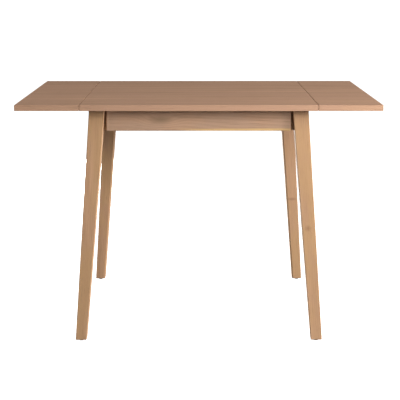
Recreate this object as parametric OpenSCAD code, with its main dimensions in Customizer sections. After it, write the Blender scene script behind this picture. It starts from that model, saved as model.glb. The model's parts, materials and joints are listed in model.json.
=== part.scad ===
// Drop leaf table: a fixed centre panel on an apron frame with four splayed, tapered legs,
// and two end leaves that fold down on butt hinges and lock level with sprung cam brackets.
// The origin is on the floor under the middle of the top. X runs along the top, from leaf to
// leaf, Y runs from front (-) to back (+), and Z is up. Sizes are in millimetres.

/* [Top] */
// Height of the table top above the floor
table_h = 750; // [720:1:770]
// Depth of the top from front to back
top_d = 700; // [700:1:760]
// Width of the fixed centre panel
centre_w = 719; // [700:1:760]
// Width of each drop leaf
leaf_w = 194; // [160:1:240]
// Thickness of the centre panel and of the leaves
top_t = 18; // [17:0.5:22]
// Open joint between the centre panel and a leaf
seam = 1.5; // [1:0.1:2]

/* [Legs] */
// Side of the square leg at its top
leg_top = 48; // [46:1:52]
// Side of the square leg at its foot
leg_foot = 35; // [30:1:38]
// How far the outer faces lean out from top to foot, both ways
leg_splay = 53.5; // [45:0.5:54]
// From the end of the centre panel to a leg's outer face at the top
leg_inset_x = 23.5; // [22:0.5:30]
// From the front edge of the top to a leg's outer face at the top
leg_inset_y = 54; // [54:0.5:60]
// Diameter of a foot glide
glide_d = 15; // [12:0.5:20]
// Height of a foot glide
glide_h = 5; // [4:0.5:6]

/* [Aprons] */
// Height of the aprons
apron_h = 70; // [66:1:76]
// Thickness of the aprons
apron_t = 22; // [20:0.5:24]
// How far an apron's face lies behind the legs' outer faces at the top
apron_recess = 10; // [8:0.5:11]
// Open gap between an apron's square end and the leg, at the top
apron_gap = 4; // [3:0.5:7]

/* [Corner joints] */
// Thickness of a corner block along the diagonal
block_t = 40; // [36:1:44]
// Width of the flat cut on a leg's inner edge, at the lower edge of the aprons
seat_w = 12; // [10:1:14]
// Diameter of the hanger bolts
bolt_d = 8; // [6:1:8]
// Length of a hanger bolt inside the leg
bolt_grip = 35; // [30:1:36]

/* [Butt hinges] */
// Depth of the hinge pins below the underside of the top
pin_drop = 5; // [4.8:0.1:5.5]
// Length of a butt hinge
hinge_len = 50; // [45:1:52]
// Width of one hinge plate, from the pin outwards
plate_w = 23; // [22:0.5:24]
// Thickness of a hinge plate
plate_t = 2; // [1.8:0.1:2.2]
// Outer diameter of the hinge barrel
barrel_d = 9.2; // [8.8:0.1:9.2]
// Diameter of a hinge pin
pin_d = 4; // [3.5:0.1:5]

/* [Leaf locks] */
// Distance of each lock bracket from the middle of the table
lock_y = 115; // [105:1:125]
// Radius of the locking cam
cam_r = 20; // [18:0.5:22]
// Thickness of the locking cam
cam_t = 5.6; // [5:0.1:5.8]
// Length of the arm screwed under the leaf
arm_len = 92; // [88:1:110]
// Thickness of the catch spring's strip
spring_t = 1.5; // [1:0.1:1.8]

/* [Hidden] */
$fn = 48;
SIDES = ["left", "right"];
CORNERS = [for (row = ["front", "rear"], side = SIDES) str(row, "_", side)];

// Heights and outlines of the wooden frame
under_z = table_h - top_t;
apron_z = under_z - apron_h;
leg_x = centre_w / 2 - leg_inset_x;
leg_y = top_d / 2 - leg_inset_y;
foot_x = leg_x + leg_splay;
foot_y = leg_y + leg_splay;
apron_x = leg_x - apron_recess;
apron_y = leg_y - apron_recess;
inner_x = apron_x - apron_t;
inner_y = apron_y - apron_t;

// The corner joint, on a line at 45 degrees through the leg's inner edge
inner_lean = (leg_splay + leg_top - leg_foot) / (under_z - glide_h);
seat_p = apron_h * inner_lean * sqrt(2) + seat_w / 2;
block_p = seat_p - block_t;
bolt_in = 18;
bolt_zs = [apron_z + bolt_in, under_z - bolt_in];
washer_t = 1.6;
washer_d = 18;
nut_t = 6.5;
nut_af = 13;
bolt_tail = 5;

// Countersunk wood screws: shank radius, head radius and the clearance round them
screw_r = 1.75;
head_r = 3.4;
point_l = 4;
point_r = 0.3;
recess = [4, 0.8, 1];
fit = 0.05;
block_screw_z = apron_z + apron_h / 2;
block_screw_l = 32;
block_wood = 15.5;
block_screw_in = 39;
counterbore_r = 4.5;
counterbore_l = 30;
block_side = 120;

// The nail of a foot glide
nail_l = 15;
nail_r = 1.25;

// How far the cut that makes the flat on a leg reaches past it
flat_cut = 60;

// Small steel angles that hold the top down to the aprons
angle_w = 18;
angle_l = 25;
angle_t = 2;
angle_hole = 16;
angle_screw_l = 15;
angle_xs = [-180, 0, 180];
angle_ys = [-60, 60];

// The fold axis and the butt hinges on it
pin_x = centre_w / 2 + seam / 2;
pin_z = under_z - pin_drop;
barrel_r = barrel_d / 2;
pin_r = pin_d / 2;
hinge_ys = [-215, 0, 215];
knuckles = 5;
knuckle = hinge_len / knuckles;
knuckle_gap = 0.3;
pin_head_t = 1.2;
hinge_screw_x = 15;
hinge_screw_y = 15;
hinge_screw_l = 14;

// The lock: a bracket on the end apron, a cam and arm on the leaf, and a spring catch
lock_ys = [-lock_y, lock_y];
back_x = apron_x - pin_x;
back_t = 2.5;
back_w = 30;
back_top = pin_drop - 0.4;
back_foot = -58;
cheek_gap = cam_t + 0.8;
cheek_t = 2.5;
pivot_r = 2.5;
arm_t = 2.8;
arm_w = 24;
arm_start = 6;
arm_screw_xs = [34, 58, 82];
arm_screw_l = 14;
back_screw_l = 16;
back_screw_y = 10.5;
back_screw_zs = [-9, -45];
spring_w = 5;
spring_foot = -50;
spring_bend = -33;
spring_top = -14;
spring_crest = 4;
spring_tip = -30;
tab_w = 14;
tab_h = 8;
rivet_r = 1.5;
rivet_head_r = 2.8;
rivet_z = -42;

// ---------- placing ----------

// Mirrors its children to the left half of the table when s is below 0
module on_side(s) {
    if (s < 0) mirror([1, 0, 0]) children();
    else children();
}

// Mirrors its children from the rear right corner to another one
module in_corner(sx, sy) {
    on_side(sx) {
        if (sy < 0) mirror([0, 1, 0]) children();
        else children();
    }
}

// Repeats its children in all four corners
module each_corner() {
    for (sx = [-1, 1], sy = [-1, 1]) in_corner(sx, sy) children();
}

// The corner's own axes: X outwards along the diagonal, from the top of the leg's inner edge
module on_diagonal(z) {
    translate([leg_x - leg_top, leg_y - leg_top, z]) rotate([0, 0, 45]) children();
}

// A frame on the fold axis: X away from the table, Z up, at each y of a list
module on_pin(s, ys) {
    on_side(s) for (y = ys) translate([pin_x, y, pin_z]) children();
}

// Turns a flat outline drawn in x and z into a plate of thickness t across Y
module plate_across(t) {
    rotate([90, 0, 0]) linear_extrude(height = t, center = true) children();
}

// ---------- fasteners ----------

// Countersunk screw along +Z, its flat head at z = 0 with a cross recess
module screw(length) {
    head_t = head_r - screw_r;
    difference() {
        union() {
            cylinder(h = head_t, r1 = head_r, r2 = screw_r);
            translate([0, 0, head_t]) cylinder(h = length - head_t - point_l, r = screw_r);
            translate([0, 0, length - point_l]) cylinder(h = point_l, r1 = screw_r, r2 = point_r);
        }
        for (a = [0, 90]) rotate([0, 0, a]) translate([-recess[0] / 2, -recess[1] / 2, -1])
            cube(recess + [0, 0, 1]);
    }
}

// The hole that the screw's shank goes into
module screw_hole(length) {
    cylinder(h = length + 0.5, r = screw_r + fit);
}

// The countersink and shank hole through a plate, from z = 0 up
module countersink(thickness) {
    translate([0, 0, -1])
        cylinder(h = head_r - screw_r + 1, r1 = head_r + fit + 1, r2 = screw_r + fit);
    screw_hole(thickness + 1);
}

// Where the screws of one steel angle go: upwards into the top, and sideways into the apron
module at_angle_screws(places) {
    for (p = places) translate([p[0], p[1], under_z]) rotate([0, 0, p[2]]) {
        translate([0, angle_hole, -angle_t]) children();
        translate([0, angle_t, -angle_hole]) rotate([90, 0, 0]) children();
    }
}

// Steel angles: x, y and the turn about Z that points them into the frame
front_angles = [for (x = angle_xs) [x, -inner_y, 0]];
rear_angles = [for (x = angle_xs) [x, inner_y, 180]];
left_angles = [for (y = angle_ys) [-inner_x, y, -90]];
right_angles = [for (y = angle_ys) [inner_x, y, 90]];
all_angles = concat(front_angles, rear_angles, left_angles, right_angles);

// Where the screws of the butt hinges go: under the centre panel (d -1) or the leaf (d 1)
module at_hinge_screws(s, d) {
    on_pin(s, hinge_ys) for (y = [-1, 1])
        translate([d * hinge_screw_x, y * hinge_screw_y, pin_drop - plate_t]) children();
}

// Where the screws of the leaf's lock arms go
module at_arm_screws(s) {
    on_pin(s, lock_ys) for (x = arm_screw_xs) translate([x, 0, pin_drop - arm_t]) children();
}

// Where the screws of the lock brackets go, into the outer face of the end apron
module at_bracket_screws(s) {
    on_pin(s, lock_ys) for (y = [-1, 1], z = back_screw_zs)
        translate([back_x + back_t, y * back_screw_y, z]) rotate([0, -90, 0]) children();
}

// Where the corner blocks are screwed to the long apron and to the end apron
module at_block_screws() {
    translate([inner_x - block_screw_in, inner_y - block_wood, block_screw_z])
        rotate([-90, 0, 0]) children();
    translate([inner_x - block_wood, inner_y - block_screw_in, block_screw_z])
        rotate([0, 90, 0]) children();
}

// ---------- wooden top ----------

module centre_panel() color("#a8846b") difference() {
    translate([-centre_w / 2, -top_d / 2, under_z]) cube([centre_w, top_d, top_t]);
    for (s = [-1, 1]) at_hinge_screws(s, -1) screw_hole(hinge_screw_l);
    at_angle_screws(all_angles) screw_hole(angle_screw_l);
}

module leaf(s) color("#b08c70") difference() {
    on_side(s) translate([pin_x + seam / 2, -top_d / 2, under_z]) cube([leaf_w, top_d, top_t]);
    at_hinge_screws(s, 1) screw_hole(hinge_screw_l);
    at_arm_screws(s) screw_hole(arm_screw_l);
}

// ---------- wooden frame ----------

// Long apron: s is -1 at the front and 1 at the rear
module long_apron(s) color("#b39379") difference() {
    half = leg_x - leg_top - apron_gap;
    translate([-half, s > 0 ? inner_y : -apron_y, apron_z]) cube([2 * half, apron_t, apron_h]);
    at_angle_screws(s > 0 ? rear_angles : front_angles) screw_hole(angle_screw_l);
    for (sx = [-1, 1]) in_corner(sx, s) at_block_screws() screw_hole(block_screw_l);
}

// End apron: s is -1 on the left and 1 on the right
module end_apron(s) color("#a98a70") difference() {
    half = leg_y - leg_top - apron_gap;
    translate([s > 0 ? inner_x : -apron_x, -half, apron_z]) cube([apron_t, 2 * half, apron_h]);
    at_angle_screws(s > 0 ? right_angles : left_angles) screw_hole(angle_screw_l);
    at_bracket_screws(s) screw_hole(back_screw_l);
    for (sy = [-1, 1]) in_corner(s, sy) at_block_screws() screw_hole(block_screw_l);
}

// The four corners of a level square whose outer corner is at (x, y)
function square_at(x, y, side, z) =
    [[x - side, y - side, z], [x, y - side, z], [x, y, z], [x - side, y, z]];

// Tapered square leg, leaning out both ways, with a flat for the corner block
module leg(sx, sy) color("#c69b79") in_corner(sx, sy) difference() {
    polyhedron(
        points = concat(square_at(foot_x, foot_y, leg_foot, glide_h),
                        square_at(leg_x, leg_y, leg_top, under_z)),
        faces = [[0, 1, 2, 3], [7, 6, 5, 4], [4, 5, 1, 0], [5, 6, 2, 1], [6, 7, 3, 2], [7, 4, 0, 3]]
    );
    on_diagonal(apron_z - flat_cut) translate([seat_p - flat_cut, -flat_cut, 0])
        cube([flat_cut, 2 * flat_cut, apron_h + flat_cut + 1]);
    for (z = bolt_zs) on_diagonal(z) rotate([0, 90, 0])
        cylinder(h = seat_p + bolt_grip + 1, r = bolt_d / 2 + fit);
    translate([foot_x - leg_foot / 2, foot_y - leg_foot / 2, 0])
        cylinder(h = glide_h + nail_l + 1, r = nail_r + fit);
}

// Block that ties two aprons together and takes the leg's bolts
module corner_block(sx, sy) color("#c2a283") in_corner(sx, sy) difference() {
    intersection() {
        translate([inner_x - block_side, inner_y - block_side, apron_z])
            cube([block_side, block_side, apron_h]);
        on_diagonal(apron_z) translate([block_p, -block_side, 0])
            cube([block_t, 2 * block_side, apron_h]);
    }
    for (z = bolt_zs) on_diagonal(z) translate([block_p - 1, 0, 0]) rotate([0, 90, 0])
        cylinder(h = block_t + 2, r = bolt_d / 2 + 0.5);
    at_block_screws() {
        screw_hole(block_screw_l);
        cylinder(h = head_r - screw_r, r1 = head_r + fit, r2 = screw_r + fit);
        translate([0, 0, -counterbore_l]) cylinder(h = counterbore_l, r = counterbore_r);
    }
}

// ---------- corner hardware ----------

module hanger_bolts() color("#b9bcc0") each_corner() for (z = bolt_zs) on_diagonal(z)
    translate([block_p - washer_t - nut_t - bolt_tail, 0, 0]) rotate([0, 90, 0])
        cylinder(h = block_t + washer_t + nut_t + bolt_tail + bolt_grip, r = bolt_d / 2);

module bolt_washers() color("#c4c6c8") each_corner() for (z = bolt_zs) on_diagonal(z)
    translate([block_p - washer_t, 0, 0]) rotate([0, 90, 0]) difference() {
        cylinder(h = washer_t, r = washer_d / 2);
        translate([0, 0, -1]) cylinder(h = washer_t + 2, r = bolt_d / 2 + 0.2);
    }

module bolt_nuts() color("#c4c6c8") each_corner() for (z = bolt_zs) on_diagonal(z)
    translate([block_p - washer_t - nut_t, 0, 0]) rotate([0, 90, 0]) difference() {
        cylinder(h = nut_t, r = nut_af / sqrt(3), $fn = 6);
        translate([0, 0, -1]) cylinder(h = nut_t + 2, r = bolt_d / 2 + fit);
    }

module block_screws() color("#c9c3a0") each_corner() at_block_screws() screw(block_screw_l);

module top_brackets() color("#bfc2c4") for (p = all_angles)
    translate([p[0], p[1], under_z]) rotate([0, 0, p[2]]) difference() {
        union() {
            translate([-angle_w / 2, 0, -angle_t]) cube([angle_w, angle_l, angle_t]);
            translate([-angle_w / 2, 0, -angle_l]) cube([angle_w, angle_t, angle_l]);
        }
        translate([0, angle_hole, -angle_t]) countersink(angle_t);
        translate([0, angle_t, -angle_hole]) rotate([90, 0, 0]) countersink(angle_t);
    }

module top_bracket_screws() color("#c9c3a0") at_angle_screws(all_angles) screw(angle_screw_l);

// Hard plastic glide with its nail, in one piece
module foot_glides() color("#1c1b1a") each_corner()
    translate([foot_x - leg_foot / 2, foot_y - leg_foot / 2, 0]) {
        cylinder(h = 1, r1 = glide_d / 2 - 1, r2 = glide_d / 2);
        translate([0, 0, 1]) cylinder(h = glide_h - 1, r = glide_d / 2);
        translate([0, 0, glide_h]) cylinder(h = nail_l, r = nail_r);
    }

// ---------- butt hinges ----------

// One hinge plate with its knuckles: d is -1 under the centre panel and 1 under the leaf
module hinge_plate(d) {
    own = d < 0 ? [0 : 2 : knuckles - 1] : [1 : 2 : knuckles - 1];
    near = barrel_r + knuckle_gap;
    difference() {
        union() {
            translate([d > 0 ? near : -plate_w, -hinge_len / 2, pin_drop - plate_t])
                cube([plate_w - near, hinge_len, plate_t]);
            for (i = own) translate([0, -hinge_len / 2 + i * knuckle + knuckle_gap / 2, 0]) {
                rotate([-90, 0, 0]) cylinder(h = knuckle - knuckle_gap, r = barrel_r);
                translate([d > 0 ? 0 : -near - 1, 0, barrel_r - plate_t])
                    cube([near + 1, knuckle - knuckle_gap, plate_t]);
            }
        }
        translate([0, -hinge_len, 0]) rotate([-90, 0, 0]) cylinder(h = 2 * hinge_len, r = pin_r + fit);
        for (y = [-1, 1]) translate([d * hinge_screw_x, y * hinge_screw_y, pin_drop - plate_t])
            countersink(plate_t);
    }
}

module fixed_hinge_plates(s) color("#b3b6b8") on_pin(s, hinge_ys) hinge_plate(-1);

module leaf_hinge_plates(s) color("#b3b6b8") on_pin(s, hinge_ys) hinge_plate(1);

module hinge_pins(s) color("#9a9da0") on_pin(s, hinge_ys) {
    rotate([90, 0, 0]) cylinder(h = hinge_len + 2 * knuckle_gap, r = pin_r, center = true);
    for (e = [-1, 1]) translate([0, e * (hinge_len / 2 + knuckle_gap + pin_head_t / 2), 0])
        rotate([90, 0, 0]) cylinder(h = pin_head_t, r = pin_r + pin_head_t, center = true);
}

module fixed_hinge_screws(s) color("#c9c3a0") at_hinge_screws(s, -1) screw(hinge_screw_l);

module leaf_hinge_screws(s) color("#c9c3a0") at_hinge_screws(s, 1) screw(hinge_screw_l);

// ---------- leaf locks ----------

// Outline of a cheek: a round boss on the fold axis, joined to the full height of the back plate
module cheek_outline() {
    near = back_x + back_t;
    square_to_edge = atan2(back_foot, near) + 90;
    boss = 0.9 * barrel_r;
    circle(r = barrel_r);
    polygon([[near - 0.5, back_top], [near, back_top], [0, boss],
             boss * [cos(square_to_edge), sin(square_to_edge)],
             [near, back_foot], [near - 0.5, back_foot]]);
}

// Back plate on the end apron, with two cheeks out to the fold axis
module lock_brackets(s) color("#a7aaad") on_pin(s, lock_ys) difference() {
    union() {
        translate([back_x, -back_w / 2, back_foot])
            cube([back_t, back_w, back_top - back_foot]);
        for (e = [-1, 1]) translate([0, e * (cheek_gap + cheek_t) / 2, 0])
            plate_across(cheek_t) cheek_outline();
    }
    rotate([90, 0, 0]) cylinder(h = back_w, r = pivot_r + fit, center = true);
    for (y = [-1, 1], z = back_screw_zs) translate([back_x + back_t, y * back_screw_y, z])
        rotate([0, -90, 0]) countersink(back_t);
    translate([back_x - 1, 0, rivet_z]) rotate([0, 90, 0])
        cylinder(h = back_t + 2, r = rivet_r + fit);
}

module lock_bracket_screws(s) color("#c9c3a0") at_bracket_screws(s) screw(back_screw_l);

module pivot_pins(s) color("#8f9295") on_pin(s, lock_ys) {
    reach = cheek_gap + 2 * cheek_t + 2 * knuckle_gap;
    rotate([90, 0, 0]) cylinder(h = reach, r = pivot_r, center = true);
    for (e = [-1, 1]) translate([0, e * (reach + pin_head_t) / 2, 0])
        rotate([90, 0, 0]) cylinder(h = pin_head_t, r = barrel_r - 0.6, center = true);
}

// Flat arm under the leaf, with a quarter-round cam that turns between the cheeks
module lock_arms(s) color("#b3b6b8") on_pin(s, lock_ys) difference() {
    union() {
        translate([arm_start, -arm_w / 2, pin_drop - arm_t])
            cube([arm_len - arm_start, arm_w, arm_t]);
        plate_across(cam_t) {
            circle(r = barrel_r);
            translate([arm_start, -1]) square([cam_r - arm_start, pin_drop - arm_t + 2]);
            intersection() {
                circle(r = cam_r);
                translate([-barrel_r, -cam_r]) square([cam_r + barrel_r, cam_r]);
            }
        }
    }
    rotate([90, 0, 0]) cylinder(h = arm_w, r = pivot_r + fit, center = true);
    for (x = arm_screw_xs) translate([x, 0, pin_drop - arm_t]) countersink(arm_t);
}

module lock_arm_screws(s) color("#c9c3a0") at_arm_screws(s) screw(arm_screw_l);

// The unit vector square to the step from a to b, on its left
function left_of(a, b) = let (d = b - a) [-d[1], d[0]] / norm(d);

// The corner of a strip's edge at point i, half a thickness h to one side of its middle line
function strip_corner(p, i, h) =
    let (
        n = len(p) - 1,
        before = left_of(p[max(i - 1, 0)], p[max(i, 1)]),
        after = left_of(p[min(i, n - 1)], p[min(i + 1, n)])
    )
    p[i] + (before + after) * h / (1 + before * after);

// Flat outline of a strip of thickness t bent along the points p
module bent_strip(p, t) {
    up = [for (i = [0 : len(p) - 1]) strip_corner(p, i, t / 2)];
    down = [for (i = [len(p) - 1 : -1 : 0]) strip_corner(p, i, -t / 2)];
    polygon(concat(up, down));
}

// Bent steel strip: riveted to the bracket, its turned-down end blocks the cam's front edge
module catch_springs(s) color("#d0d2d4") on_pin(s, lock_ys) {
    wall = back_x + back_t + spring_t / 2;
    stop = -barrel_r - 0.2 - spring_t / 2;
    difference() {
        union() {
            plate_across(spring_w) bent_strip([
                [wall, spring_foot], [wall, spring_bend], [stop - spring_crest, spring_top],
                [stop, spring_top], [stop, spring_tip]
            ], spring_t);
            translate([stop - spring_t / 2, -tab_w / 2, spring_tip]) cube([spring_t, tab_w, tab_h]);
        }
        translate([back_x, 0, rivet_z]) rotate([0, 90, 0])
            cylinder(h = back_t + 2 * spring_t, r = rivet_r + fit);
    }
}

module catch_rivets(s) color("#8f9295") on_pin(s, lock_ys) translate([back_x, 0, rivet_z])
    rotate([0, 90, 0]) {
        cylinder(h = back_t + spring_t, r = rivet_r);
        translate([0, 0, back_t + spring_t]) cylinder(h = 1.2, r1 = rivet_head_r, r2 = rivet_r);
    }

// ---------- drawing ----------

centre_panel();
long_apron(-1);  // front_apron
long_apron(1);  // rear_apron
end_apron(-1);  // left_end_apron
end_apron(1);  // right_end_apron
for (i = [0 : 3]) {
    sx = i % 2 == 0 ? -1 : 1;
    sy = i < 2 ? -1 : 1;
    leg(sx, sy);
    corner_block(sx, sy);
}
hanger_bolts();
bolt_washers();
bolt_nuts();
block_screws();
top_brackets();
top_bracket_screws();
foot_glides();
for (i = [0, 1]) {
    s = 2 * i - 1;
    at = str(SIDES[i], "_");
    leaf(s);
    fixed_hinge_plates(s);
    leaf_hinge_plates(s);
    hinge_pins(s);
    fixed_hinge_screws(s);
    leaf_hinge_screws(s);
    lock_brackets(s);
    lock_bracket_screws(s);
    pivot_pins(s);
    lock_arms(s);
    lock_arm_screws(s);
    catch_springs(s);
    catch_rivets(s);
}
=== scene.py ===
# %% [markdown]
# # A drop leaf table in stained wood
# The table stands on four splayed, tapered legs that are bolted to corner blocks inside an apron
# frame. Its top is a fixed centre panel with a leaf at each end, and each leaf folds down on steel
# butt hinges and locks level with a sprung cam bracket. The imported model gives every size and
# place. This lesson makes the surfaces that are looked at: boards with softened edges, wood that
# has growth rings through its whole depth, and plated steel fittings.

# %% Load the frame
import json
import math

import bmesh
import bpy
import numpy as np
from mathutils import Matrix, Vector


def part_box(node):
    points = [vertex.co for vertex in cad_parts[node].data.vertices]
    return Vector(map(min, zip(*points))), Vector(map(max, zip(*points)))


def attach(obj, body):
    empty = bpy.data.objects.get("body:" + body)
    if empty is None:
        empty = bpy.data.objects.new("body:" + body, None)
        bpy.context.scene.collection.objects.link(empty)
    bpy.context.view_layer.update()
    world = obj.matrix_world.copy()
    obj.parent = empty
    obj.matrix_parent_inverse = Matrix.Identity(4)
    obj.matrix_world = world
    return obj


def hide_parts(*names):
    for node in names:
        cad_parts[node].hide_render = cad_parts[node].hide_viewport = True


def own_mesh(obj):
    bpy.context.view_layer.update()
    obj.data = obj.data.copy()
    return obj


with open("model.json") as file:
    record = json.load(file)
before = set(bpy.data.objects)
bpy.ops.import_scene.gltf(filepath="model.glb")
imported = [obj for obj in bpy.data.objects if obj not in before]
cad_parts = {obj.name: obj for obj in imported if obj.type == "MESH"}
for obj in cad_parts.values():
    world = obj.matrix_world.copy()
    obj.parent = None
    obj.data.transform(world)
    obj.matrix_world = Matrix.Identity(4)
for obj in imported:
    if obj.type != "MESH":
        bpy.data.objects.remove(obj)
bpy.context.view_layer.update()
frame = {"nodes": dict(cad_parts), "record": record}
SIDES = (("left", -1), ("right", 1))
ROWS = (("front", -1), ("rear", 1))
CORNERS = [(f"{row}_{side}", sx, sy) for row, sy in ROWS for side, sx in SIDES]

# %% [markdown]
# ## The camera first
# A long lens from a little above the table's height, tipped down, shows the top as a thin
# trapezium and both pairs of legs. The long lens keeps the legs' taper honest, where a wide
# one would stretch the near legs.

# %% Camera
CAMERA_PLACE = (-0.0024, -3.4056, 1.1403)
CAMERA_PITCH = 12.58
CAMERA_TURN = 0.114
LENS = 92.0
SENSOR_WIDTH = 36.0


def make_camera():
    """Looks along +Y, pitched down by CAMERA_PITCH and turned towards +X by CAMERA_TURN degrees."""
    data = bpy.data.cameras.new("camera")
    data.lens = LENS
    data.sensor_width = SENSOR_WIDTH
    camera = bpy.data.objects.new("camera", data)
    camera.location = CAMERA_PLACE
    camera.rotation_euler = (math.radians(90 - CAMERA_PITCH), 0, math.radians(-CAMERA_TURN))
    bpy.context.scene.collection.objects.link(camera)
    bpy.context.scene.camera = camera


make_camera()
view_angle = math.degrees(2 * math.atan(SENSOR_WIDTH / 2 / LENS))
print("camera: sees", round(view_angle, 1), "degrees across")

# %% [markdown]
# ## A small kit for shader nodes
# A material is a graph. Writing one link per line buries the idea, so two helpers are enough:
# one adds a node with its settings and inputs in a single call, and one does a sum.
# An input is either a number, a colour, or another node's output.

# %% Node helpers
class Graph:
    """A material's node tree, with short calls to add nodes that are already linked."""

    def __init__(self, name):
        self.material = bpy.data.materials.new(name)
        self.material.use_nodes = True
        self.tree = self.material.node_tree
        self.tree.nodes.clear()

    def add(self, kind, inputs=None, out=0, **settings):
        """Adds a node of this kind, sets its settings and inputs, and returns one output."""
        node = self.tree.nodes.new("ShaderNode" + kind)
        for key, value in settings.items():
            setattr(node, key, value)
        for key, value in (inputs or {}).items():
            if isinstance(value, bpy.types.NodeSocket):
                self.tree.links.new(value, node.inputs[key])
            else:
                node.inputs[key].default_value = value
        return node.outputs[out]

    def sum(self, operation, a, b=0.0, c=0.0):
        """One step of arithmetic on numbers or outputs."""
        return self.add("Math", {0: a, 1: b, 2: c}, operation=operation)

    def band(self, value, low, high, to_low=0.0, to_high=1.0):
        """A smooth step: to_low below low, to_high above high, and an S-curve between them."""
        inputs = {"Value": value, "From Min": low, "From Max": high, "To Min": to_low, "To Max": to_high}
        return self.add("MapRange", inputs, interpolation_type="SMOOTHSTEP")

    def blend(self, share, a, b, mode="MIX"):
        """Mixes colour a with colour b by share, from 0 to 1."""
        inputs = {0: share, 6: a, 7: b}
        return self.add("Mix", inputs, out=2, data_type="RGBA", blend_type=mode)

    def finish(self, colour, roughness, height=None, bump=0.0, **fixed):
        """Ends the graph in one Principled shader, with its bump from a height if there is one."""
        inputs = {"Base Color": colour, "Roughness": roughness}
        if height is not None:
            inputs["Normal"] = self.add("Bump", {"Height": height, "Strength": 1.0, "Distance": bump})
        for key, value in fixed.items():
            inputs[key.replace("_", " ")] = value
        shader = self.add("BsdfPrincipled", inputs)
        self.tree.links.new(shader, self.tree.nodes.new("ShaderNodeOutputMaterial").inputs["Surface"])
        return self.material


def srgb(red, green, blue):
    """A colour given as the 0 to 255 numbers of a paint chart, made linear for the shader."""
    share = np.array([red, green, blue]) / 255.0
    linear = np.where(share <= 0.04045, share / 12.92, ((share + 0.055) / 1.055) ** 2.4)
    return (*linear.tolist(), 1.0)


# %% [markdown]
# ## Wood that is solid all the way through
# A picture of wood glued on a box gives itself away at the corners, where the lines on the face
# don't meet the lines on the edge. Real grain is a solid pattern: a tree is a stack of cones, and
# a board is a straight cut through it. So the pattern is worked out in space. The distance from
# the pith, bent by slow noise, counts the growth rings; a board cut far from the pith gets nearly
# straight lines, and one cut close to it gets arches. Fibres and pores are fine noise that is
# stretched along the grain. The stain soaks into the soft early wood, and dries greyer in pores.
# A knot is where a branch began: the rings swell round it and the wood darkens towards its middle.
# Large soft clouds of a second tone, and a band of pale sapwood, keep a board from being all alike.

# %% Wood material
# How many grains of each noise fit in a metre across the board
GRAINS = {"drift": 5.0, "shake": 60.0, "patch": 9.0, "threads": 420.0, "stripes": 26.0,
          "clouds": 16.0, "pores": 1100.0}
PORE_COLOUR = srgb(96, 68, 50)
WOOD_RELIEF = 0.00012
SAP_BLUR = 0.003


def along_grain(g, place, turn, pith):
    """The point in the board's own axes: grain along X, and the pith on the X axis.
    Mapping in POINT mode turns first and then moves, so the pith is a place after the turn."""
    inputs = {"Vector": place, "Rotation": turn, "Location": [-value for value in pith]}
    return g.add("Mapping", inputs, vector_type="POINT")


def stretched_noise(g, point, scale, stretch, detail, rough):
    """Noise whose grains are 1/stretch times as long along X as they are wide."""
    longer = g.add("VectorMath", {0: point, 1: (stretch, 1.0, 1.0)}, operation="MULTIPLY")
    inputs = {"Vector": longer, "Scale": scale, "Detail": detail, "Roughness": rough}
    return g.add("TexNoise", inputs)


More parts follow.
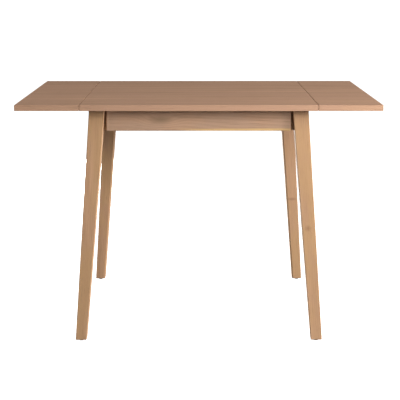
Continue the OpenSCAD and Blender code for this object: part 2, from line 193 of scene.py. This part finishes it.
def wood(name, early, late, fibre, turn=(0, 0, 0), pith=(0, 0.3, -0.5), ring=0.004, tilt=0.0,
         contrast=0.5, wander=0.012, streak=0.35, staves=0.0, knots=(),
         knot_colour=(0.15, 0.1, 0.07, 1), blotch=None, sap=None, rough=0.66):
    """Growth rings: phase = (distance from pith + tilt * x + wandering noise) / ring, and the
    colour goes slowly from early to late wood over each ring and drops back at its end."""
    g = Graph(name)
    place = g.add("TexCoord", out=3)
    p = along_grain(g, place, turn, pith)
    x, y, z = (g.add("SeparateXYZ", {0: p}, out=i) for i in range(3))
    flat = g.add("CombineXYZ", {0: 0.0, 1: y, 2: z})
    distance = g.add("VectorMath", {0: flat}, out=1, operation="LENGTH")
    drift = g.sum("MULTIPLY_ADD", x, tilt, distance)
    slow = stretched_noise(g, p, GRAINS["drift"], 0.22, 3.0, 0.5)
    bent = g.sum("MULTIPLY_ADD", slow, wander * 4, drift)
    shake = stretched_noise(g, p, GRAINS["shake"], 0.08, 2.0, 0.5)
    bent = g.sum("MULTIPLY_ADD", shake, wander * 0.16, bent)
    dark = 0.0
    for at, squeeze, size, strength in knots:
        gap = g.add("VectorMath", {0: place, 1: at}, operation="SUBTRACT")
        shape = g.add("VectorMath", {0: gap, 1: squeeze}, operation="MULTIPLY")
        reach = g.add("VectorMath", {0: shape}, out=1, operation="LENGTH")
        near = g.band(reach, 0.0, size, 1.0, 0.0)
        bent = g.sum("MULTIPLY_ADD", near, ring * 2.5, bent)
        dark = g.sum("MULTIPLY_ADD", g.band(reach, 0.0, size * 0.55, 1.0, 0.0), strength, dark)
    phase = g.sum("FRACT", g.sum("DIVIDE", bent, ring))
    rise = g.band(phase, 0.15, 0.86)
    fall = g.band(phase, 0.88, 1.0, 1.0, 0.0)
    rings = g.sum("MULTIPLY", rise, fall)
    patch = stretched_noise(g, p, GRAINS["patch"], 0.2, 2.0, 0.5)
    rings = g.sum("MULTIPLY", rings, g.band(patch, 0.3, 0.7, 0.35 * contrast, contrast))
    colour = g.blend(rings, early, late)
    threads = stretched_noise(g, p, GRAINS["threads"], 0.02, 4.0, 0.6)
    colour = g.blend(g.band(threads, 0.5, 0.78, 0.0, streak), colour, fibre)
    wide = stretched_noise(g, p, GRAINS["stripes"], 0.05, 3.0, 0.55)
    tone = g.band(wide, 0.25, 0.75, 0.9, 1.09)
    if staves:
        board = g.sum("FLOOR", g.sum("DIVIDE", y, staves))
        shade = g.add("TexWhiteNoise", {"W": board}, out=0, noise_dimensions="1D")
        tone = g.sum("MULTIPLY", tone, g.band(shade, 0.0, 1.0, 0.97, 1.03))
    colour = g.blend(1.0, colour, g.add("CombineColor", {0: tone, 1: tone, 2: tone}), mode="MULTIPLY")
    if blotch:
        cloud = stretched_noise(g, p, GRAINS["clouds"], 0.35, 2.0, 0.5)
        colour = g.blend(g.band(cloud, 0.42, 0.62, 0.0, 0.55), colour, blotch)
    if sap:
        colour = g.blend(sapwood(g, sap), colour, sap["colour"])
    if knots:
        colour = g.blend(dark, colour, knot_colour)
    pores = stretched_noise(g, p, GRAINS["pores"], 0.018, 1.0, 0.4)
    pits = g.band(pores, 0.66, 0.74)
    colour = g.blend(g.sum("MULTIPLY", pits, 0.35), colour, PORE_COLOUR)
    height = g.sum("MULTIPLY_ADD", pits, -1.0, g.sum("MULTIPLY", threads, 0.5))
    height = g.sum("MULTIPLY_ADD", rings, 0.25, height)
    gloss = g.band(threads, 0.3, 0.7, rough - 0.05, rough + 0.07)
    return g.finish(colour, gloss, height, WOOD_RELIEF, Specular_IOR_Level=0.2)


def sapwood(g, sap):
    """The pale outer wood left along one edge of a board: a band at the low edge whose top
    wanders along the board, and which fades in between the two x of fade."""
    place = g.add("TexCoord", out=3)
    x, z = (g.add("SeparateXYZ", {0: place}, out=i) for i in (0, 2))
    wave = stretched_noise(g, place, GRAINS["patch"], 0.5, 2.0, 0.5)
    top = g.sum("MULTIPLY_ADD", wave, sap["wander"], sap["top"])
    low = g.band(g.sum("SUBTRACT", z, top), -SAP_BLUR, SAP_BLUR, 1.0, 0.0)
    along = g.band(x, *sap["fade"])
    return g.sum("MULTIPLY", g.sum("MULTIPLY", low, along), sap["strength"])


STAVE = 0.0875


def top_wood(name, pith_y, seed):
    """The top is made of narrow staves with fine, nearly straight grain along X."""
    return wood(name, srgb(188, 148, 119), srgb(162, 122, 96), srgb(143, 112, 93),
                pith=(seed, pith_y, 0.1), ring=0.0062, tilt=0.012, contrast=0.4, wander=0.016,
                streak=0.35, staves=STAVE, blotch=srgb(184, 144, 118))


def apron_wood(name, pith, knots=(), sap=None, turn=(0, 0, 0)):
    """The aprons are flat-sawn, so the rings show as long arches along the board."""
    return wood(name, srgb(189, 151, 122), srgb(146, 112, 86), srgb(132, 104, 84), turn=turn,
                pith=pith, ring=0.006, tilt=0.02, contrast=0.45, wander=0.014, streak=0.45, knots=knots,
                knot_colour=srgb(123, 100, 75), blotch=srgb(179, 147, 123), sap=sap)


def leg_wood(name, grain, seed, knots=()):
    """Straight-grained wood whose fibres run up the leg: the leg's own line is turned onto X."""
    turn = Vector(grain).rotation_difference(Vector((1, 0, 0))).to_euler()
    return wood(name, srgb(187, 147, 113), srgb(157, 115, 85), srgb(141, 104, 78), turn=turn,
                pith=(seed, 0.09, 0.42), ring=0.0052, tilt=0.008, contrast=0.32, wander=0.01,
                streak=0.42, knots=knots, knot_colour=srgb(129, 88, 68), blotch=srgb(183, 145, 102))


top_low, top_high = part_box("centre_panel")
print("wood:", round((top_high.y - top_low.y) / STAVE, 1), "staves across the top")

# %% [markdown]
# ## Plated steel and moulded plastic
# The fittings under the top are pressed and turned steel. Plating is never a flat grey: rolled
# sheet keeps faint lines from the rollers, zinc has a fine spangle, and handling leaves patches
# that shine less. Colour, roughness and a very small bump all follow the same noises.

# %% Metal and plastic materials
ROLLER_LINES = 900.0
HANDLED = srgb(112, 108, 102)
SCUFFED = srgb(74, 71, 68)


def plated(name, colour, tint, rough, spangle=600.0):
    """Metal with rolled lines along Y, and a spangle of cells mixing two close tints."""
    g = Graph(name)
    place = g.add("TexCoord", out=3)
    stroke = g.add("VectorMath", {0: place, 1: (1.0, 0.06, 1.0)}, operation="MULTIPLY")
    rolled = g.add("TexNoise", {"Vector": stroke, "Scale": ROLLER_LINES, "Detail": 2.0})
    cells = g.add("TexVoronoi", {"Vector": place, "Scale": spangle}, out=1)
    grey = g.add("SeparateColor", {0: cells})
    wear = g.add("TexNoise", {"Vector": place, "Scale": 55.0, "Detail": 4.0, "Roughness": 0.65})
    mixed = g.blend(g.sum("MULTIPLY", grey, 0.5), colour, tint)
    mixed = g.blend(g.band(wear, 0.52, 0.8, 0.0, 0.35), mixed, HANDLED)
    gloss = g.band(wear, 0.35, 0.7, rough, rough + 0.18)
    return g.finish(mixed, gloss, rolled, 0.00003, Metallic=1.0)


def moulded(name, colour, rough):
    """Black plastic with the fine dimples of a spark-eroded mould and scuffs from the floor."""
    g = Graph(name)
    place = g.add("TexCoord", out=3)
    grain = g.add("TexNoise", {"Vector": place, "Scale": 2600.0, "Detail": 2.0})
    scuff = g.add("TexNoise", {"Vector": place, "Scale": 240.0, "Detail": 5.0, "Roughness": 0.7})
    mixed = g.blend(g.band(scuff, 0.5, 0.8, 0.0, 0.5), colour, SCUFFED)
    return g.finish(mixed, g.band(scuff, 0.3, 0.7, rough, rough + 0.2), grain, 0.00004)


NICKEL = plated("satin_nickel", srgb(164, 163, 160), srgb(148, 149, 150), 0.36)
ZINC = plated("bright_zinc", srgb(178, 181, 185), srgb(162, 168, 175), 0.32, spangle=340.0)
YELLOW_ZINC = plated("yellow_zinc", srgb(204, 186, 132), srgb(188, 176, 138), 0.3)
TURNED = plated("turned_steel", srgb(168, 170, 172), srgb(150, 152, 156), 0.24)
SPRING = plated("blued_spring", srgb(128, 136, 148), srgb(108, 116, 130), 0.28)
BLACK = moulded("black_plastic", srgb(30, 29, 28), 0.45)
print("finishes:", *(m.name for m in (NICKEL, ZINC, YELLOW_ZINC, TURNED, SPRING, BLACK)))

# %% [markdown]
# ## Lofting: one closed skin from a stack of outlines
# Every wooden piece is an outline carried along a line: a board is a rectangle carried along its
# length, and a leg is a square that shrinks as it goes down. If each outline has the same number
# of points, the skin between two of them is a strip of quads, and the first and last outlines
# close the ends. A sharp outline would look like cut paper, so each corner is rounded: three
# points guide a quadratic curve, which starts and ends a little way along the two edges.

# %% Outlines and lofts
ARC_POINTS = 5
EASE_POINTS = 4
MERGE_DISTANCE = 1e-6


def soften(corners, cut):
    """Rounds each corner of closed outlines. corners is (..., K, D), and cut is how far along
    each edge the rounding starts. A corner c between a and b, both on the edges at distance cut,
    becomes the curve (1-t)^2 a + 2t(1-t) c + t^2 b for t from 0 to 1."""
    before = np.roll(corners, 1, axis=-2) - corners
    after = np.roll(corners, -1, axis=-2) - corners
    a = corners + cut * before / np.linalg.norm(before, axis=-1, keepdims=True)
    b = corners + cut * after / np.linalg.norm(after, axis=-1, keepdims=True)
    t = np.linspace(0, 1, ARC_POINTS)[:, None]
    a, c, b = (v[..., None, :] for v in (a, corners, b))
    curve = (1 - t) ** 2 * a + 2 * t * (1 - t) * c + t**2 * b
    return curve.reshape(*corners.shape[:-2], -1, corners.shape[-1])


def loft_faces(rings, count):
    """Quads between neighbouring outlines of count points each, and one flat face at each end."""
    ring, i = (v.ravel() for v in np.meshgrid(np.arange(rings - 1), np.arange(count), indexing="ij"))
    here, there, j = ring * count, (ring + 1) * count, (i + 1) % count
    quads = np.stack([here + i, here + j, there + j, there + i], 1)
    ends = [list(range(count))[::-1], list(range((rings - 1) * count, rings * count))]
    return quads.tolist() + ends


def make_piece(name, vertices, faces, material, body, stands_for, slot):
    """Puts a mesh in the scene at the origin, turns its faces outwards, and rides it on a body."""
    mesh = bpy.data.meshes.new(name)
    mesh.from_pydata(np.asarray(vertices, float).tolist(), [], faces)
    work = bmesh.new()
    work.from_mesh(mesh)
    bmesh.ops.remove_doubles(work, verts=work.verts, dist=MERGE_DISTANCE)
    bmesh.ops.recalc_face_normals(work, faces=work.faces)
    work.to_mesh(mesh)
    work.free()
    mesh.polygons.foreach_set("use_smooth", np.ones(len(mesh.polygons), bool))
    mesh.materials.append(material)
    piece = bpy.data.objects.new(name, mesh)
    bpy.context.scene.collection.objects.link(piece)
    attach(piece, body)
    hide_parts(*stands_for)
    return piece


def flat_faces_first(piece):
    """Shades the wide faces flat and only the narrow rounded edges smoothly."""
    modifier = piece.modifiers.new("face_weight", "WEIGHTED_NORMAL")
    modifier.mode = "FACE_AREA"
    modifier.weight = 100
    return piece


# %% [markdown]
# ## The boards: top, leaves and aprons
# A planed board has four long arrises that are eased with sandpaper, and two sawn ends. Carried
# along its length, its outline stays the same, apart from the first and last millimetre, where it
# shrinks by the same curve that rounds the long edges. The top's edges are kept crisp, so that the
# joint between the centre panel and a leaf stays a thin line.

# %% Boards
JUST_UNDER = 0.999  # keeps a rounding from reaching the next station's corner


def board(name, node, long_axis, ease, material, body, slot):
    """A box with all its arrises eased by a quarter circle of radius ease. Station s along the
    length has its outline set in by ease * (1 - sin(angle)), where angle goes from 0 at the end
    face to 90 degrees one radius further in."""
    low, high = (np.array(v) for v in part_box(node))
    across = [i for i in range(3) if i != long_axis]
    angle = np.linspace(0, np.pi / 2, EASE_POINTS)
    step, inset = ease * (1 - np.cos(angle)), ease * (1 - np.sin(angle))
    stations = np.concatenate([low[long_axis] + step, (high[long_axis] - step)[::-1]])
    inset = np.concatenate([inset, inset[::-1]])
    centre, half = (low + high)[across] / 2, (high - low)[across] / 2
    signs = np.array([[-1, -1], [1, -1], [1, 1], [-1, 1]])
    flat = centre + signs * (half - inset[:, None, None])
    outline = soften(flat, ease * JUST_UNDER)
    rings = np.zeros((*outline.shape[:2], 3))
    rings[..., across] = outline
    rings[..., long_axis] = stations[:, None]
    faces = loft_faces(*rings.shape[:2])
    piece = make_piece(name, rings.reshape(-1, 3), faces, material, body, [node], slot)
    return flat_faces_first(piece)


TOP_EASE = 0.0009
APRON_EASE = 0.0022
centre_wood = top_wood("top_wood_centre", 0.42, 0.0)
board("centre_board", "centre_panel", 0, TOP_EASE, centre_wood, "frame", "top_wood")
for side, sx in SIDES:
    finish = top_wood(f"top_wood_{side}", 0.42, 0.03 * sx)
    board(f"{side}_leaf_board", f"{side}_leaf", 0, TOP_EASE, finish, f"{side}_leaf", "top_wood")

low_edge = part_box("front_apron")[0].z
FRONT_KNOT = ((-0.117, 0.0, low_edge + 0.035), (0.36, 0.0, 1.0), 0.034, 0.6)
SAP = {"top": low_edge + 0.0015, "wander": 0.01, "fade": (-0.08, 0.02),
       "colour": srgb(215, 176, 122), "strength": 0.95}
front_wood = apron_wood("apron_wood_front", (0.0, -0.22, low_edge - 0.035), [FRONT_KNOT], SAP)
board("front_apron_board", "front_apron", 0, APRON_EASE, front_wood, "frame", "apron_wood")
rear_wood = apron_wood("apron_wood_rear", (0.1, 0.36, low_edge + 0.1))
board("rear_apron_board", "rear_apron", 0, APRON_EASE, rear_wood, "frame", "apron_wood")
GRAIN_ALONG_Y = (0, 0, math.radians(90))
for side, sx in SIDES:
    finish = apron_wood(f"apron_wood_{side}", (0.2 * sx, 0.26, low_edge - 0.05), turn=GRAIN_ALONG_Y)
    board(f"{side}_end_apron_board", f"{side}_end_apron", 1, APRON_EASE, finish, "frame", "apron_wood")
print("boards: 7 with eased arrises")

# %% [markdown]
# ## The legs
# A leg is a square that shrinks from top to foot while its outer corner moves outwards in both
# directions. Its inner corner is planed off to a flat, where it seats against the corner block,
# and the flat narrows to nothing further down because the leg leans away. One outline with five
# corners does it all: the fifth appears where the flat cuts the inner corner, and everywhere else
# the two corners of the cut are just the eased arris. The foot's lower edge is chamfered so that
# it doesn't splinter when the table is dragged.

# %% Legs
LEG_EASE = 0.0022
LEG_STATIONS = 40
FOOT_MARGIN, HEAD_MARGIN = 0.01, 0.004
HEAD_SHARE = 0.4  # the head is hidden under the top, so it is eased less than the foot
LEAST_CUT = LEG_EASE * 1.6
SAME_LEVEL = 1e-5


def leg_rings(node, sx, sy):
    """Outlines of one leg, from foot to top, from the CAD node's own corners.
    With h from 0 at the foot to 1 at the top, side and outer corner both run linearly in h. The
    cut on the inner corner, measured along each edge, is sqrt(2) times the depth of the flat."""
    mesh = frame["nodes"][node].data
    points = np.array([v.co for v in mesh.vertices], float) * (sx, sy, 1)
    z0, z1 = points[:, 2].min(), points[:, 2].max()
    foot, head = (points[np.abs(points[:, 2] - z) < SAME_LEVEL] for z in (z0, z1))
    outer = np.array([foot[:, :2].max(0), head[:, :2].max(0)])
    inner = np.array([foot[:, :2].min(0), head[:, :2].min(0)])
    flat_at = (head[:, 0] + head[:, 1]).min()
    angle = np.linspace(0, np.pi / 2, EASE_POINTS)
    end, shrink = LEG_EASE * (1 - np.cos(angle)), LEG_EASE * (1 - np.sin(angle))
    middle = np.linspace(z0 + FOOT_MARGIN, z1 - HEAD_MARGIN, LEG_STATIONS)
    z = np.concatenate([z0 + end, middle, (z1 - end * HEAD_SHARE)[::-1]])
    inset = np.concatenate([shrink, np.zeros(LEG_STATIONS), shrink[::-1] * HEAD_SHARE])[:, None]
    h = ((z - z0) / (z1 - z0))[:, None]
    hi = outer[0] + (outer[1] - outer[0]) * h - inset
    lo = inner[0] + (inner[1] - inner[0]) * h + inset
    cut = np.maximum(flat_at - lo.sum(1, keepdims=True), LEAST_CUT)
    corners = np.stack([
        np.concatenate([hi[:, :1], lo[:, 1:]], 1), hi, np.concatenate([lo[:, :1], hi[:, 1:]], 1),
        np.concatenate([lo[:, :1], lo[:, 1:] + cut], 1), np.concatenate([lo[:, :1] + cut, lo[:, 1:]], 1),
    ], axis=1)
    outline = soften(corners, LEG_EASE)
    rings = np.concatenate([outline, np.broadcast_to(z[:, None, None], (*outline.shape[:2], 1))], axis=2)
    return rings * (sx, sy, 1)


LEG_KNOTS = {
    "front_right": [((0.3395, -0.323, 0.3616), (1.0, 0.4, 1.0), 0.026, 0.5)],
    "rear_right": [((0.345, 0.2855, 0.32), (0.5, 0.4, 1.5), 0.024, 0.5)],
}
for corner, sx, sy in CORNERS:
    rings = leg_rings(f"{corner}_leg", sx, sy)
    spread = rings[0].mean(0) - rings[-1].mean(0)
    finish = leg_wood(f"leg_wood_{corner}", -spread, 0.17 * sx + 0.31 * sy, LEG_KNOTS.get(corner, ()))
    leg = make_piece(f"{corner}_leg_post", rings.reshape(-1, 3), loft_faces(*rings.shape[:2]), finish,
                     "frame", [f"{corner}_leg"], "leg_wood")
    flat_faces_first(leg)
print("legs: lean of", round(math.degrees(math.atan2(abs(spread[0]), -spread[2])), 2), "degrees both ways")

# %% [markdown]
# ## Corner blocks
# The blocks are off-cuts: sawn, planed on the faces that are glued, and never stained. Their
# shape, with the bolt holes and the counterbores for the screws, is right as it comes from the
# model, so they only need a finish and eased arrises. The model's mesh is loose triangles, and a
# bevel needs to know which faces share an edge, so a merged copy is what gets the bevel.

# %% Merged copies with eased edges
FLAT_ANGLE = math.radians(0.6)
SHARP_ANGLE = math.radians(38)


def eased_copy(name, node, material, body, width):
    """A copy of a CAD node, with its triangles merged and its sharp edges bevelled by width."""
    mesh = frame["nodes"][node].data.copy()
    work = bmesh.new()
    work.from_mesh(mesh)
    bmesh.ops.remove_doubles(work, verts=work.verts, dist=MERGE_DISTANCE)
    bmesh.ops.dissolve_limit(work, angle_limit=FLAT_ANGLE, verts=work.verts, edges=work.edges)
    work.to_mesh(mesh)
    work.free()
    mesh.materials.clear()
    mesh.materials.append(material)
    mesh.polygons.foreach_set("use_smooth", np.ones(len(mesh.polygons), bool))
    piece = bpy.data.objects.new(name, mesh)
    bpy.context.scene.collection.objects.link(piece)
    bevel = piece.modifiers.new("eased_edges", "BEVEL")
    bevel.width = width
    bevel.segments = 2
    bevel.limit_method = "ANGLE"
    bevel.angle_limit = SHARP_ANGLE
    bevel.use_clamp_overlap = True
    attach(piece, body)
    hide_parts(node)
    return flat_faces_first(piece)


block_wood = wood("block_wood", srgb(224, 190, 150), srgb(196, 156, 116), srgb(176, 142, 108),
                  pith=(0.0, 0.1, 0.5), ring=0.005, tilt=0.02, contrast=0.5, rough=0.68)
BLOCK_EASE = 0.0008
for corner, _, _ in CORNERS:
    eased_copy(f"{corner}_block", f"{corner}_corner_block", block_wood, "frame", BLOCK_EASE)
print("corner blocks:", len(CORNERS))

# %% [markdown]
# ## The fittings
# Hinges, brackets, springs, bolts and screws all come from the model with their true bores and
# countersinks. A stamped edge is never sharp, and it is the thin bright line along it that makes
# metal look like metal, so each gets a bevel of a few tenths of a millimetre.

# %% Fittings
# Each kind of fitting: its finish, its material slot, and the width of its eased edge
FITTINGS = {
    "fixed_hinge_plates": (NICKEL, "hinge_steel", 0.00025),
    "leaf_hinge_plates": (NICKEL, "hinge_steel", 0.00025),
    "lock_brackets": (NICKEL, "hinge_steel", 0.0003),
    "lock_arms": (NICKEL, "hinge_steel", 0.0003),
    "hinge_pins": (TURNED, "pin_steel", 0.0003),
    "pivot_pins": (TURNED, "pin_steel", 0.0003),
    "catch_rivets": (TURNED, "pin_steel", 0.0002),
    "catch_springs": (SPRING, "spring_steel", 0.0002),
    "fixed_hinge_screws": (YELLOW_ZINC, "screw_steel", 0.0001),
    "leaf_hinge_screws": (YELLOW_ZINC, "screw_steel", 0.0001),
    "lock_bracket_screws": (YELLOW_ZINC, "screw_steel", 0.0001),
    "lock_arm_screws": (YELLOW_ZINC, "screw_steel", 0.0001),
}
FRAME_FITTINGS = {
    "hanger_bolts": (ZINC, "zinc_steel", 0.0004),
    "bolt_washers": (ZINC, "zinc_steel", 0.0002),
    "bolt_nuts": (ZINC, "zinc_steel", 0.0004),
    "top_brackets": (ZINC, "zinc_steel", 0.0003),
    "block_screws": (YELLOW_ZINC, "screw_steel", 0.0001),
    "top_bracket_screws": (YELLOW_ZINC, "screw_steel", 0.0001),
}
body_of_node = {n: body for body, nodes in frame["record"]["behaviour"]["bodies"].items() for n in nodes}
named = {f"{side}_{kind}": spec for side, _ in SIDES for kind, spec in FITTINGS.items()} | FRAME_FITTINGS
fittings = {node: eased_copy(f"{node}_finished", node, finish, body_of_node[node], width)
            for node, (finish, slot, width) in named.items()}
print("fittings:", len(fittings), "groups")

# %% [markdown]
# ## The catch springs
# A catch spring is a bent strip, riveted to the bracket at its foot. It stands in front of the cam
# while the leaf is up, and when a finger pulls it back the cam rolls over it and holds it down.
# Here each spring's finished copy only gets a mesh of its own. Nothing presses it back while the
# leaf goes down, so on the way down the strip passes through the arm.

# %% Catch springs
for side, sx in SIDES:
    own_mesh(fittings[f"{side}_catch_springs"])

# %% [markdown]
# ## Foot glides
# Each foot stands on a hard plastic glide with a nail moulded in. It was turned in the mould, so
# it is one profile carried round an axis: a flat sole, a rounded rim, a short straight side, and
# the nail. The four are the same profile at four places, made in one go.

# %% Glides
GLIDE_TURNS = 36
GLIDE_RADIUS = 0.0075
NAIL_RADIUS = 0.00125
RIM, SHOULDER, RIM_POINTS = 0.0012, 0.0004, 5
POLE = 1e-4  # radius of the tiny ring at each end, which one face closes


def glide_profile(radius, height, nail_radius, nail_top):
    """Radius and height along half a glide, from the middle of the sole to the nail's point.
    The rim is a quarter circle."""
    a = np.linspace(-np.pi / 2, 0, RIM_POINTS)
    nail_r = [nail_radius, nail_radius, nail_radius * 0.9, POLE]
    nail_z = [height, nail_top - 0.001, nail_top - 0.0003, nail_top]
    r = np.concatenate([[POLE, radius - 2.5 * RIM], radius - RIM + RIM * np.cos(a),
                        [radius, radius - SHOULDER], nail_r])
    z = np.concatenate([[0, 0], RIM + RIM * np.sin(a), [height - SHOULDER, height], nail_z])
    return r, z


def lathe(r, z, centres):
    """Carries a profile round the vertical through each centre: x = cx + r cos(a) and
    y = cy + r sin(a), with a in even steps."""
    a = np.linspace(0, 2 * np.pi, GLIDE_TURNS, endpoint=False)
    ring = np.stack([np.outer(r, np.cos(a)), np.outer(r, np.sin(a)), np.outer(z, np.ones_like(a))], -1)
    places = np.array([[x, y, 0] for x, y in centres])
    vertices = (ring[None] + places[:, None, None, :]).reshape(-1, 3)
    faces = []
    for copy in range(len(centres)):
        start = copy * ring.shape[0] * ring.shape[1]
        faces += [[start + i for i in face] for face in loft_faces(*ring.shape[:2])]
    return vertices, faces


glide_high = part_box("foot_glides")[1]
foot_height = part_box("front_right_leg")[0].z
centre = (glide_high.x - GLIDE_RADIUS, glide_high.y - GLIDE_RADIUS)
glides = lathe(*glide_profile(GLIDE_RADIUS, foot_height, NAIL_RADIUS, glide_high.z),
               [(sx * centre[0], sy * centre[1]) for _, sx, sy in CORNERS])
flat_faces_first(make_piece("foot_glides_moulded", *glides, BLACK, "frame", ["foot_glides"], "glide_plastic"))
print("glides:", len(CORNERS), "of", round(2000 * GLIDE_RADIUS, 1), "mm across")

# %% [markdown]
# ## The studio
# A pale floor and a white surround give soft light from everywhere, and four square soft lights
# model the shapes. The key, from the front right, brightens the long edges and the legs' faces more
# than the top. The side light lifts the faces towards the right, and the fill those towards the
# left. The low back light stands below the top's level, so that it reaches the rear faces without a
# glare on the top.

# %% Floor and light
FLOOR_REACH = 60.0
FLOOR_GLOW = 0.85


def make_floor():
    """A wide, flat, pale floor at z = 0, which lights nothing itself."""
    mesh = bpy.data.meshes.new("floor")
    signs = ((-1, -1), (1, -1), (1, 1), (-1, 1))
    mesh.from_pydata([(x * FLOOR_REACH, y * FLOOR_REACH, 0) for x, y in signs], [], [(0, 1, 2, 3)])
    floor = bpy.data.objects.new("floor", mesh)
    bpy.context.scene.collection.objects.link(floor)
    g = Graph("pale_floor")
    place = g.add("TexCoord", out=3)
    patch = g.add("TexNoise", {"Vector": place, "Scale": 1.5, "Detail": 2.0})
    shade = g.blend(patch, (0.92, 0.92, 0.92, 1), (0.95, 0.95, 0.95, 1))
    mesh.materials.append(g.finish(shade, 0.9, Emission_Color=(1, 1, 1, 1), Emission_Strength=FLOOR_GLOW))
    floor.visible_diffuse = False


def area_light(name, place, target, size, power):
    """A square soft light at place, facing target."""
    data = bpy.data.lights.new(name, "AREA")
    data.size = size
    data.energy = power
    light = bpy.data.objects.new(name, data)
    light.location = place
    light.visible_camera = False
    aim = np.array(target, float) - np.array(place, float)
    tilt = math.atan2(math.hypot(aim[0], aim[1]), -aim[2])
    heading = math.atan2(aim[1], aim[0]) - math.pi / 2
    light.rotation_euler = (tilt, 0, heading)
    bpy.context.scene.collection.objects.link(light)


def make_world(above, below, seen):
    """Soft light from every side: strength above overhead, fading to below underfoot. The camera
    itself sees an even, pale surround of strength seen."""
    world = bpy.data.worlds.new("soft_surround")
    world.use_nodes = True
    tree = world.node_tree
    tree.nodes.clear()
    place = tree.nodes.new("ShaderNodeTexCoord")
    split = tree.nodes.new("ShaderNodeSeparateXYZ")
    fade = tree.nodes.new("ShaderNodeMapRange")
    fade.interpolation_type = "SMOOTHSTEP"
    for key, value in {"From Min": -0.3, "From Max": 0.7, "To Min": below, "To Max": above}.items():
        fade.inputs[key].default_value = value
    path = tree.nodes.new("ShaderNodeLightPath")
    pick = tree.nodes.new("ShaderNodeMix")
    pick.inputs[3].default_value = seen
    light = tree.nodes.new("ShaderNodeBackground")
    output = tree.nodes.new("ShaderNodeOutputWorld")
    tree.links.new(place.outputs["Generated"], split.inputs[0])
    tree.links.new(split.outputs[2], fade.inputs["Value"])
    tree.links.new(path.outputs["Is Camera Ray"], pick.inputs[0])
    tree.links.new(fade.outputs[0], pick.inputs[2])
    tree.links.new(pick.outputs[0], light.inputs["Strength"])
    tree.links.new(light.outputs[0], output.inputs["Surface"])
    bpy.context.scene.world = world


make_floor()
make_world(above=0.44, below=0.05, seen=1.05)
area_light("key", (1.7, -2.7, 1.65), (0, 0, 0.6), 1.1, 69)
area_light("side", (3.3, -1.2, 1.25), (0, 0, 0.6), 1.3, 165)
area_light("fill", (-4.0, 0.6, 1.6), (0, 0, 0.6), 2.0, 50)
area_light("low_back", (-1.0, 2.8, 0.4), (0, 0, 0.4), 0.6, 80)
bpy.context.scene.view_settings.view_transform = "Standard"
print("studio:", len(bpy.data.lights), "soft lights")
